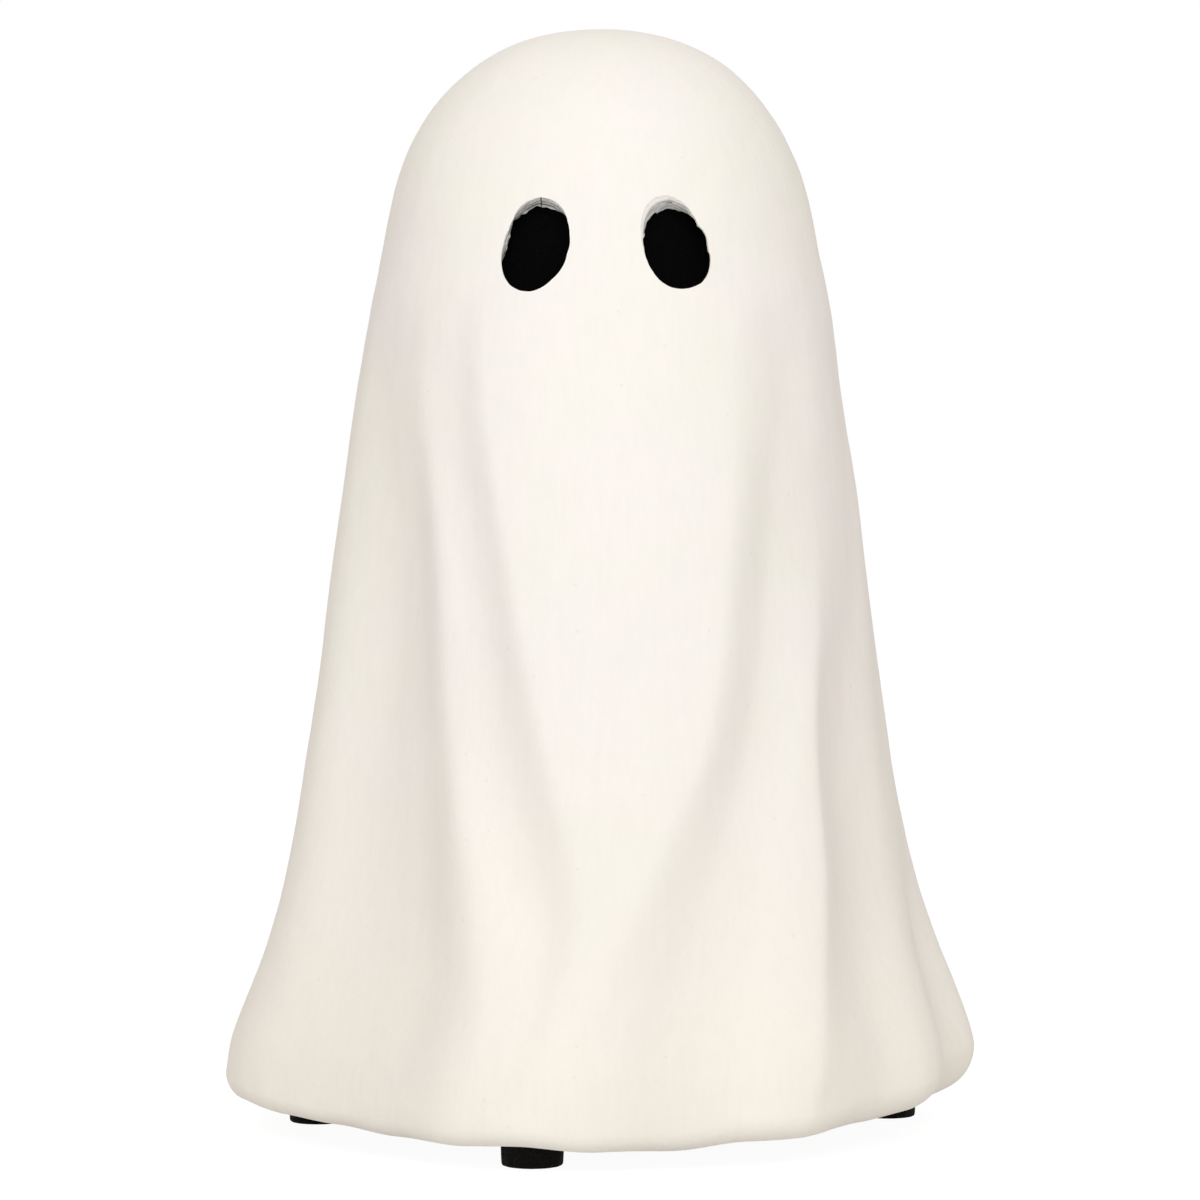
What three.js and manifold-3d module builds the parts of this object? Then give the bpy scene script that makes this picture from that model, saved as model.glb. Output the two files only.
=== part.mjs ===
// Paper mache ghost: a sheet-draped figure with two eye holes, standing on four foam pads.
// Millimetres, +Z up. The origin is on the table, under the middle of the hem.
// The face looks along -Y. Azimuths are in degrees from the face, positive towards +X,
// and left and right are as seen by someone who faces the ghost.

import * as THREE from 'three';
import { mergeVertices } from 'three/addons/utils/BufferGeometryUtils.js';
import Module from 'manifold-3d';

const wasm = await Module();
wasm.setup();

// Body, with heights from the underside of the base board
const BODY_HEIGHT = 344.5;
const WALL = 6;
const CROWN_ROUND = 70;
const CROWN_POWER = 2.5;

// Levels of the skirt as shares of the body height, from the crown down, and its radius at each
const SKIRT_LEVELS = [1, 0.82, 0.67, 0.52, 0.35, 0.2, 0.14, 0.1, 0.055, 0.015];
const SKIRT_RADII = [60.3, 69.9, 79, 86, 93.6, 102.6, 108.2, 113.6, 119.4, 121.6];

// Levels at which the folds are given, and the level above which the head is smooth
const FOLD_LEVELS = [0.67, 0.52, 0.35, 0.2, 0.1, 0.015];
const FOLDS_START = 0.755;

// Folds of the drape, each a crest or a valley with its azimuth and relief at each fold level.
// A lean over 1 makes the stretch from one fold to the next steeper near the next one, and a
// lean under 1 makes it steeper near the fold itself.
const FOLDS = [
  {
    name: 'bib left edge',
    azimuth: [-27, -18.5, -9.5, -2.5, -7, -12.5],
    relief: [0.8, 3.4, 5.4, 6.4, 5.4, 4.8],
    lean: 1,
  },
  {
    name: 'bib right edge',
    azimuth: [32, 26, 19, 5, -4, -9],
    relief: [0.8, 3.6, 5.4, 6.4, 5.4, 4.8],
    lean: 0.9,
  },
  {
    name: 'valley right of the bib',
    azimuth: [50, 40, 31.5, 20, 12, 9],
    relief: [-2, -2.4, -2.6, -3.4, -4.8, -4.6],
    lean: 1,
  },
  {
    name: 'right front ridge',
    azimuth: [60, 54, 45, 41, 35.5, 31],
    relief: [-1.4, -1.4, 1.2, 3, 3.4, 2.8],
    lean: 0.6,
  },
  {
    name: 'deep right valley',
    azimuth: [76, 70, 57.5, 53.5, 49, 47],
    relief: [-1.4, -2, -5.2, -5.8, -6, -4.4],
    lean: 1,
  },
  {
    name: 'right panel',
    azimuth: [88, 84, 73, 68, 61, 57],
    relief: [-0.6, -0.2, -1.4, -1.4, -1.2, -0.6],
    lean: 1.8,
  },
  {
    name: 'right side valley',
    azimuth: [100, 94, 88, 78, 71.5, 67],
    relief: [-0.4, 0.2, -0.2, -2.2, -3.8, -3.4],
    lean: 1,
  },
  {
    name: 'right side ridge',
    azimuth: [118, 108, 102, 92, 86, 82],
    relief: [0.6, 1, 0.8, 1, 2.4, 1.4],
    lean: 1,
  },
  {
    name: 'back right valley',
    azimuth: [135, 126, 120, 114, 110, 108],
    relief: [-1, -2.5, -3.5, -3.5, -3, -2.4],
    lean: 1,
  },
  {
    name: 'back right ridge',
    azimuth: [148, 142, 138, 134, 130, 128],
    relief: [0.5, 1.5, 2, 2.4, 2.4, 1.8],
    lean: 1,
  },
  {
    name: 'middle back valley',
    azimuth: [162, 158, 156, 158, 160, 160],
    relief: [-1, -2, -3, -3.6, -3.2, -2.4],
    lean: 1,
  },
  {
    name: 'back ridge',
    azimuth: [178, 178, 180, 184, 186, 188],
    relief: [1, 2, 2.4, 2.4, 2, 1.6],
    lean: 1,
  },
  {
    name: 'back left valley',
    azimuth: [198, 202, 206, 208, 210, 210],
    relief: [-1, -2.4, -3.2, -3.6, -3.2, -2.4],
    lean: 1,
  },
  {
    name: 'back left ridge',
    azimuth: [218, 220, 224, 226, 228, 228],
    relief: [0.6, 1.4, 2, 2.2, 2.2, 1.8],
    lean: 1,
  },
  {
    name: 'left side valley',
    azimuth: [236, 240, 243, 245, 246, 246],
    relief: [-0.8, -1.6, -2.4, -2.6, -2.2, -1.8],
    lean: 1,
  },
  {
    name: 'left side ridge',
    azimuth: [262, 266, 268, 268, 266, 266],
    relief: [0, -0.8, -1, -1.2, -1.4, -0.6],
    lean: 1,
  },
  {
    name: 'left panel',
    azimuth: [282, 288, 292, 294, 292, 292],
    relief: [-0.4, 1.2, 2.6, 3, 2.6, 2],
    lean: 1,
  },
  {
    name: 'deep left valley',
    azimuth: [300, 311, 315.5, 320.5, 323, 322],
    relief: [-2.6, -5.2, -7, -7.8, -8, -6.4],
    lean: 1.6,
  },
  {
    name: 'left front ridge',
    azimuth: [315, 324.5, 331, 339, 343.5, 341],
    relief: [-1.4, -1.2, -0.8, 2.4, 3.4, 2.8],
    lean: 1,
  },
  {
    name: 'valley left of the bib',
    azimuth: [322.5, 330, 338.5, 347, 349.5, 344.5],
    relief: [-1.4, -2.2, -1.8, -0.8, 3.4, 4.2],
    lean: 1.3,
  },
];

// Hem edge, at even steps round from the front by the right: its drop below the board, and its
// rounding. Its underside keeps at least the lip's width outside the seat.
const HEM_DROP = [
  4.3, 4.9, 2.5, 2.3, 0.8, -0.1, -2, -1.8, -1.5, -1, -0.5, 0.2, 1, 1.5, 2, 2.2,
  2.5, 2.5, 2.5, 2.2, 2, 2, 2, 1.7, 1.4, 0.6, -0.3, 0.6, 1.5, 3, 3.2, 2.2,
];
const HEM_ROUND = [6, 8.5, 14, 8, 7, 7, 8.5, 5];
const HEM_LIP = 2;

// Base board and its seat in the hem
const BOARD_RADIUS = 108.7;
const BOARD_THICKNESS = 3;
const LEDGE_WIDTH = 5;
const LEDGE_BLEND = 26;
const SEAT_CLEARANCE = 0.3;

// Eye holes: size of the cut, how far apart and off the middle they are, how they lean and slant
const EYE_WIDTH = 20.6;
const EYE_HEIGHT = 29;
const EYE_LEVEL = 269;
const EYE_SPACING = 43.7;
const EYES_MIDDLE = 1.75;
const EYE_SLANT_DOWN = 0.44;
const EYES = [
  { side: 'left', x: EYES_MIDDLE - EYE_SPACING / 2, lean: -11, slantRight: 0.38 },
  { side: 'right', x: EYES_MIDDLE + EYE_SPACING / 2, lean: 12, slantRight: 0.11 },
];

// Felt patches glued over the eye holes from inside
const FELT_THICKNESS = 2;
const FELT_MARGIN = 6;
const FELT_GAP = 0.3;

// Foam pads and the adhesive discs that hold them to the board. The middle of each pad is in from
// the board's edge by the inset, the front one less and the left one more by the shift.
const PAD_DIAMETER = 19;
const PAD_HEIGHT = 10.5;
const PAD_INSET = 13.7;
const PAD_SHIFT = 3;
const TAPE_DIAMETER = 18;
const TAPE_THICKNESS = 0.5;
const PADS = [
  { side: 'front', azimuth: -12, inset: PAD_INSET - PAD_SHIFT },
  { side: 'right', azimuth: 95, inset: PAD_INSET },
  { side: 'back', azimuth: 180, inset: PAD_INSET },
  { side: 'left', azimuth: -87, inset: PAD_INSET + PAD_SHIFT },
];

// Fineness of the faceted surfaces
const AZIMUTH_STEPS = 90;
const OUTER_RINGS = 24;
const INNER_RINGS = 13;
const RING_POWER = 1.6;
const ROUND_STEPS = 4;
const PAD_SIDES = 32;
const EYE_POINTS = 28;

// What follows from the sizes
const BOARD_UNDERSIDE = PAD_HEIGHT + TAPE_THICKNESS;
const SEAT_RADIUS = BOARD_RADIUS + SEAT_CLEARANCE;
const SEAT_HEIGHT = BOARD_THICKNESS + SEAT_CLEARANCE;
const LEDGE_RADIUS = BOARD_RADIUS - LEDGE_WIDTH;

const COLOURS = {
  paper: { color: 0xf8f2ea, roughness: 0.85, metalness: 0 },
  board: { color: 0xa89f92, roughness: 0.9, metalness: 0 },
  felt: { color: 0x0b0a0a, roughness: 0.98, metalness: 0 },
  foam: { color: 0x191816, roughness: 0.95, metalness: 0 },
  tape: { color: 0xdedbd2, roughness: 0.5, metalness: 0 },
};

// A share from 0 to 1 that starts and ends level
function ease(share) {
  const t = Math.min(Math.max(share, 0), 1);
  return t * t * (3 - 2 * t);
}

// Rate of change of values against falling levels, at one of them
function slopeAt(levels, values, index) {
  const above = Math.max(index - 1, 0);
  const below = Math.min(index + 1, levels.length - 1);
  return (values[below] - values[above]) / (levels[below] - levels[above]);
}

// Smooth curve through values that are given at falling levels
function alongLevels(levels, values, level) {
  const last = levels.length - 1;
  if (level >= levels[0]) {
    return values[0];
  }
  if (level <= levels[last]) {
    return values[last];
  }
  const lower = levels.findIndex((mark) => level >= mark);
  const upper = lower - 1;
  const span = levels[lower] - levels[upper];
  const t = (level - levels[upper]) / span;
  const startPull = slopeAt(levels, values, upper) * span * t * (1 - t) * (1 - t);
  const endPull = slopeAt(levels, values, lower) * span * t * t * (t - 1);
  return values[upper] + (values[lower] - values[upper]) * ease(t) + startPull + endPull;
}

// Value between those given at even steps round the hem
function aroundHem(values, azimuth) {
  const place = ((azimuth % 360) + 360) % 360 / 360 * values.length;
  const from = Math.floor(place) % values.length;
  const to = (from + 1) % values.length;
  return values[from] + (values[to] - values[from]) * ease(place - Math.floor(place));
}

// How far the folds push the wall out, or draw it in, at an azimuth and a share of the height
function foldRelief(azimuth, level) {
  const stops = FOLDS.map((fold) => ({
    azimuth: alongLevels(FOLD_LEVELS, fold.azimuth, level),
    relief: alongLevels(FOLD_LEVELS, fold.relief, level),
    lean: fold.lean,
  }));
  const first = stops[0];
  stops.push({ azimuth: first.azimuth + 360, relief: first.relief, lean: first.lean });
  const turned = (((azimuth - first.azimuth) % 360) + 360) % 360 + first.azimuth;
  const next = Math.max(stops.findIndex((stop) => stop.azimuth > turned), 1);
  const from = stops[next - 1];
  const to = stops[next];
  const share = (turned - from.azimuth) / (to.azimuth - from.azimuth);
  const blended = from.relief + (to.relief - from.relief) * ease(share ** from.lean);
  return blended * ease((FOLDS_START - level) / (FOLDS_START - FOLD_LEVELS[0]));
}

// Radius of the draped body at an azimuth and height, drawn in by an offset from its outer face
function bodyRadius(azimuth, height, offset) {
  const level = height / BODY_HEIGHT;
  const skirt = alongLevels(SKIRT_LEVELS, SKIRT_RADII, level) + foldRelief(azimuth, level) - offset;
  const drop = (BODY_HEIGHT - offset - height) / CROWN_ROUND;
  const fromRound = Math.min(Math.max(1 - drop, 0), 1);
  return skirt * (1 - fromRound ** CROWN_POWER) ** (1 / CROWN_POWER);
}

// Point at an azimuth, a radius and a height
function polarPoint(azimuth, radius, height) {
  const angle = THREE.MathUtils.degToRad(azimuth);
  return [radius * Math.sin(angle), -radius * Math.cos(angle), height];
}

// Closed geometry from rings of points between a top point and a bottom point
function closedFromRings(top, rings, bottom) {
  const sides = rings[0].length;
  const positions = [top, ...rings.flat(), bottom];
  const indices = [];
  const at = (ring, side) => 1 + ring * sides + (side % sides);
  for (let side = 0; side < sides; side += 1) {
    indices.push(0, at(0, side), at(0, side + 1));
    indices.push(positions.length - 1, at(rings.length - 1, side + 1), at(rings.length - 1, side));
    for (let ring = 0; ring < rings.length - 1; ring += 1) {
      indices.push(at(ring, side), at(ring + 1, side), at(ring + 1, side + 1));
      indices.push(at(ring, side), at(ring + 1, side + 1), at(ring, side + 1));
    }
  }
  const geometry = new THREE.BufferGeometry();
  geometry.setAttribute('position', new THREE.Float32BufferAttribute(positions.flat(), 3));
  geometry.setIndex(indices);
  return geometry;
}

// The azimuths of the faceted body
function azimuthSteps() {
  return Array.from({ length: AZIMUTH_STEPS }, (_, step) => step * 360 / AZIMUTH_STEPS);
}

// Outer face of the paper body, down round its hem and in across its underside
function outerSkin() {
  const azimuths = azimuthSteps();
  const rings = [];
  for (let ring = 1; ring <= OUTER_RINGS; ring += 1) {
    const share = (ring / OUTER_RINGS) ** RING_POWER;
    rings.push(azimuths.map((azimuth) => {
      const hemTop = aroundHem(HEM_ROUND, azimuth) - aroundHem(HEM_DROP, azimuth);
      const height = BODY_HEIGHT - share * (BODY_HEIGHT - hemTop);
      return polarPoint(azimuth, bodyRadius(azimuth, height, 0), height);
    }));
  }
  for (let step = 1; step <= ROUND_STEPS; step += 1) {
    const turn = step / ROUND_STEPS * Math.PI / 2;
    rings.push(azimuths.map((azimuth) => {
      const round = aroundHem(HEM_ROUND, azimuth);
      const hemTop = round - aroundHem(HEM_DROP, azimuth);
      const edge = bodyRadius(azimuth, hemTop, 0);
      const inward = Math.min(round, edge - SEAT_RADIUS - HEM_LIP);
      return polarPoint(azimuth, edge - inward * (1 - Math.cos(turn)), hemTop - round * Math.sin(turn));
    }));
  }
  const inside = azimuths.map((azimuth) => (
    polarPoint(azimuth, LEDGE_RADIUS, -aroundHem(HEM_DROP, azimuth))
  ));
  rings.push(inside);
  return closedFromRings([0, 0, BODY_HEIGHT], rings, [0, 0, 0]);
}

// Face inside the wall at an offset from the outer face, down to the ledge over the board
function innerSkin(offset) {
  const azimuths = azimuthSteps();
  const top = BODY_HEIGHT - offset;
  const foot = SEAT_HEIGHT - SEAT_CLEARANCE;
  const rings = [];
  for (let ring = 1; ring <= INNER_RINGS; ring += 1) {
    const height = top - (ring / INNER_RINGS) ** RING_POWER * (top - foot);
    const free = ease((height - foot) / LEDGE_BLEND);
    rings.push(azimuths.map((azimuth) => {
      const wall = bodyRadius(azimuth, height, offset);
      return polarPoint(azimuth, LEDGE_RADIUS + (wall - LEDGE_RADIUS) * free, height);
    }));
  }
  return closedFromRings([0, 0, top], rings, [0, 0, foot]);
}

// Disc with its axis up, standing on a height
function disc(radius, thickness, sides, base) {
  const geometry = new THREE.CylinderGeometry(radius, radius, thickness, sides);
  geometry.rotateX(Math.PI / 2);
  geometry.translate(0, 0, base + thickness / 2);
  return geometry;
}

// Slanted oval prism through the wall at an eye, grown all round by a margin
function eyePrism(eye, margin) {
  const outline = new THREE.EllipseCurve(
    0, 0, EYE_WIDTH / 2 + margin, EYE_HEIGHT / 2 + margin, 0, 2 * Math.PI, false, eye.lean * Math.PI / 180,
  );
  const shape = new THREE.Shape(outline.getPoints(EYE_POINTS).slice(0, EYE_POINTS));
  const radius = bodyRadius(0, EYE_LEVEL, 0);
  const front = Math.sqrt(radius ** 2 - eye.x ** 2);
  const geometry = new THREE.ExtrudeGeometry(shape, { depth: 2 * front, bevelEnabled: false });
  const place = new THREE.Matrix4().set(
    1, 0, -eye.slantRight, eye.x + eye.slantRight * front,
    0, 0, -1, 0,
    0, 1, EYE_SLANT_DOWN, EYE_LEVEL - EYE_SLANT_DOWN * front,
    0, 0, 0, 1,
  );
  geometry.applyMatrix4(place);
  return geometry;
}

// Solid from a closed geometry
function toSolid(geometry) {
  const bare = geometry.clone();
  bare.deleteAttribute('normal');
  bare.deleteAttribute('uv');
  const merged = mergeVertices(bare);
  return new wasm.Manifold(new wasm.Mesh({
    numProp: 3,
    vertProperties: new Float32Array(merged.attributes.position.array),
    triVerts: new Uint32Array(merged.index.array),
  }));
}

// Geometry from a solid
function toGeometry(solid) {
  const mesh = solid.getMesh();
  const geometry = new THREE.BufferGeometry();
  geometry.setAttribute('position', new THREE.BufferAttribute(mesh.vertProperties, 3));
  geometry.setIndex(new THREE.BufferAttribute(mesh.triVerts, 1));
  geometry.computeVertexNormals();
  return geometry;
}

// Paper body: a hollow drape with its eye holes, open below, with a stepped seat for the board
function shellGeometry() {
  const seatDepth = SEAT_HEIGHT + Math.max(...HEM_DROP) + WALL;
  const seat = disc(SEAT_RADIUS, seatDepth, AZIMUTH_STEPS, SEAT_HEIGHT - seatDepth);
  let shell = toSolid(outerSkin()).subtract(toSolid(innerSkin(WALL))).subtract(toSolid(seat));
  for (const eye of EYES) {
    shell = shell.subtract(toSolid(eyePrism(eye, 0)));
  }
  return toGeometry(shell);
}

// Felt patch that follows the inside of the wall behind an eye hole
function feltGeometry(eye) {
  const near = WALL + FELT_GAP;
  const layer = toSolid(innerSkin(near)).subtract(toSolid(innerSkin(near + FELT_THICKNESS)));
  return toGeometry(layer.intersect(toSolid(eyePrism(eye, FELT_MARGIN))));
}

// Named mesh with a material of its own
function piece(name, geometry, finish) {
  const mesh = new THREE.Mesh(geometry, new THREE.MeshStandardMaterial(finish));
  mesh.name = name;
  return mesh;
}

// Body that stands on the pads: shell, board and felt patches
function buildBody() {
  const body = new THREE.Group();
  body.position.z = BOARD_UNDERSIDE;
  body.add(piece('ghost_shell', shellGeometry(), COLOURS.paper));
  const board = disc(BOARD_RADIUS, BOARD_THICKNESS, AZIMUTH_STEPS, 0);
  body.add(piece('base_board', board, COLOURS.board));
  for (const eye of EYES) {
    body.add(piece(`eye_backing_${eye.side}`, feltGeometry(eye), COLOURS.felt));
  }
  return body;
}

// Foam pad on the table, with the adhesive disc between it and the board
function buildFoot(pad) {
  const foot = new THREE.Group();
  foot.position.set(...polarPoint(pad.azimuth, BOARD_RADIUS - pad.inset, 0));
  const foam = disc(PAD_DIAMETER / 2, PAD_HEIGHT, PAD_SIDES, 0);
  foot.add(piece(`foot_${pad.side}`, foam, COLOURS.foam));
  const tape = disc(TAPE_DIAMETER / 2, TAPE_THICKNESS, PAD_SIDES, PAD_HEIGHT);
  foot.add(piece(`foot_tape_${pad.side}`, tape, COLOURS.tape));
  return foot;
}

const ghost = new THREE.Group();
ghost.add(buildBody());
for (const pad of PADS) {
  ghost.add(buildFoot(pad));
}

export default ghost;
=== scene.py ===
"""Paper mache ghost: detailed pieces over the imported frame, their finishes, the studio and the camera.

Tables are in millimetres and degrees, as in the CAD source, and Blender works in metres. Azimuth 0 is
the face, which looks along -Y, and azimuths grow towards +X. Heights in the tables count from the
underside of the base board.
"""

import logging
import math
from dataclasses import dataclass, field
from enum import Enum
from typing import Sequence

import bpy
import numpy as np
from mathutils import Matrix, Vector


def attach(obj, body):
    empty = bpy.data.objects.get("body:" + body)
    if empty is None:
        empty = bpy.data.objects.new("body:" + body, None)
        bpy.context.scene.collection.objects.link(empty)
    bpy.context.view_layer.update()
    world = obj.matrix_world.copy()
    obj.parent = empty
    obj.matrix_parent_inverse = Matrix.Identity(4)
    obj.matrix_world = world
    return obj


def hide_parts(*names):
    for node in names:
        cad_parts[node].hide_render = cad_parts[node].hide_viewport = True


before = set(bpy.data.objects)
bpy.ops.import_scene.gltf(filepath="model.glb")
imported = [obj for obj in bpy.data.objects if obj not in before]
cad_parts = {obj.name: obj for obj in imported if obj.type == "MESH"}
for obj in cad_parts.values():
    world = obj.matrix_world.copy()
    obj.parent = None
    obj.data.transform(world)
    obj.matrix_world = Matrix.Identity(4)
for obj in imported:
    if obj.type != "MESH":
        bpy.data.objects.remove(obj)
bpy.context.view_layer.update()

LOG = logging.getLogger("ghost")
MM = 0.001
TOUCHING = MM / 1000
WHITE = (1.0, 1.0, 1.0)
Colour = tuple[float, float, float]
Points = Sequence[tuple[float, float]]
Inputs = dict[str | int, object]


# Shape of the drape


@dataclass(frozen=True)
class Fold:
    """Crest or valley of the drape.

    Attributes:
        name: Which fold it is.
        azimuths: Its azimuth at each fold level.
        reliefs: How far it pushes the wall out at each fold level, or draws it in.
        lean: Above 1, its relief reaches further towards the next fold.
    """

    name: str
    azimuths: tuple[float, ...]
    reliefs: tuple[float, ...]
    lean: float = 1.0


FOLDS = (
    Fold("bib left edge", (-27, -18.5, -9.5, -2.5, -7, -12.5), (0.8, 3.4, 5.4, 6.4, 5.4, 4.8)),
    Fold("bib right edge", (32, 26, 19, 5, -4, -9), (0.8, 3.6, 5.4, 6.4, 5.4, 4.8), 0.9),
    Fold("valley right of the bib", (50, 40, 31.5, 20, 12, 9), (-2, -2.4, -2.6, -3.4, -4.8, -4.6)),
    Fold("right front ridge", (60, 54, 45, 41, 35.5, 31), (-1.4, -1.4, 1.2, 3, 3.4, 2.8), 0.6),
    Fold("deep right valley", (76, 70, 57.5, 53.5, 49, 47), (-1.4, -2, -5.2, -5.8, -6, -4.4)),
    Fold("right panel", (88, 84, 73, 68, 61, 57), (-0.6, -0.2, -1.4, -1.4, -1.2, -0.6), 1.8),
    Fold("right side valley", (100, 94, 88, 78, 71.5, 67), (-0.4, 0.2, -0.2, -2.2, -3.8, -3.4)),
    Fold("right side ridge", (118, 108, 102, 92, 86, 82), (0.6, 1, 0.8, 1, 2.4, 1.4)),
    Fold("back right valley", (135, 126, 120, 114, 110, 108), (-1, -2.5, -3.5, -3.5, -3, -2.4)),
    Fold("back right ridge", (148, 142, 138, 134, 130, 128), (0.5, 1.5, 2, 2.4, 2.4, 1.8)),
    Fold("middle back valley", (162, 158, 156, 158, 160, 160), (-1, -2, -3, -3.6, -3.2, -2.4)),
    Fold("back ridge", (178, 178, 180, 184, 186, 188), (1, 2, 2.4, 2.4, 2, 1.6)),
    Fold("back left valley", (198, 202, 206, 208, 210, 210), (-1, -2.4, -3.2, -3.6, -3.2, -2.4)),
    Fold("back left ridge", (218, 220, 224, 226, 228, 228), (0.6, 1.4, 2, 2.2, 2.2, 1.8)),
    Fold("left side valley", (236, 240, 243, 245, 246, 246), (-0.8, -1.6, -2.4, -2.6, -2.2, -1.8)),
    Fold("left side ridge", (262, 266, 268, 268, 266, 266), (0, -0.8, -1, -1.2, -1.4, -0.6)),
    Fold("left panel", (282, 288, 292, 294, 292, 292), (-0.4, 1.2, 2.6, 3, 2.6, 2)),
    Fold("deep left valley", (300, 311, 315.5, 320.5, 323, 322), (-2.6, -5.2, -7, -7.8, -8, -6.4), 1.6),
    Fold("left front ridge", (315, 324.5, 331, 339, 343.5, 341), (-1.4, -1.2, -0.8, 2.4, 3.4, 2.8)),
    Fold(
        "valley left of the bib",
        (322.5, 330, 338.5, 347, 349.5, 344.5), (-1.4, -2.2, -1.8, -0.8, 3.4, 4.2), 1.3,
    ),
)


def ease(share: np.ndarray) -> np.ndarray:
    """Share from 0 to 1 that starts and ends level."""
    t = np.clip(share, 0, 1)
    return t * t * (3 - 2 * t)


def along_levels(levels: Sequence[float], values: Sequence[float], level: np.ndarray) -> np.ndarray:
    """Smooth curve through values that are given at falling levels.

    Args:
        levels: Shares of the body height, from high to low.
        values: The value at each of the levels.
        level: Where the curve is read.

    Returns:
        The value at each level asked for, held level beyond the ends.
    """
    marks, given = np.asarray(levels, float), np.asarray(values, float)
    last = len(marks) - 1
    level = np.clip(level, marks[last], marks[0])
    above, below = np.maximum(np.arange(last + 1) - 1, 0), np.minimum(np.arange(last + 1) + 1, last)
    slopes = (given[below] - given[above]) / (marks[below] - marks[above])
    upper = np.clip(np.searchsorted(-marks, -level, side="right") - 1, 0, last - 1)
    span = marks[upper + 1] - marks[upper]
    t = (level - marks[upper]) / span
    start_pull = slopes[upper] * span * t * (1 - t) * (1 - t)
    end_pull = slopes[upper + 1] * span * t * t * (t - 1)
    return given[upper] + (given[upper + 1] - given[upper]) * ease(t) + start_pull + end_pull


def around_hem(values: Sequence[float], azimuth: np.ndarray) -> np.ndarray:
    """Smooth curve through values round the hem.

    Args:
        values: Values at even steps from the front round by the right, the back and the left.
        azimuth: Azimuths in degrees at which the curve is read.

    Returns:
        The value at each azimuth.
    """
    place = np.mod(azimuth, 360) / 360 * len(values)
    start = np.floor(place).astype(int) % len(values)
    given = np.asarray(values, float)
    return given[start] + (given[(start + 1) % len(values)] - given[start]) * ease(place - np.floor(place))


@dataclass(frozen=True)
class Lumps:
    """Hand-made unevenness: a seeded sum of waves in space.

    Attributes:
        depth: How far it typically departs, in millimetres.
        shortest: Shortest wavelength, in millimetres.
        longest: Longest wavelength, in millimetres.
        seed: Seed of the waves' directions, lengths and phases.
        waves: Number of waves.
    """

    depth: float
    shortest: float
    longest: float
    seed: int
    waves: int = 28

    def at(self, points: np.ndarray) -> np.ndarray:
        """How far the surface departs.

        Args:
            points: Points in millimetres, whose last axis is x, y, z.

        Returns:
            The departure at each point, in millimetres.
        """
        rng = np.random.default_rng(self.seed)
        total = np.zeros(points.shape[:-1])
        for _ in range(self.waves):
            direction = rng.normal(size=3)
            direction /= np.linalg.norm(direction)
            length = rng.uniform(self.shortest, self.longest)
            total += np.sin(points @ (direction * 2 * math.pi / length) + rng.uniform(0, 2 * math.pi))
        return self.depth * total / math.sqrt(self.waves / 2)


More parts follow.
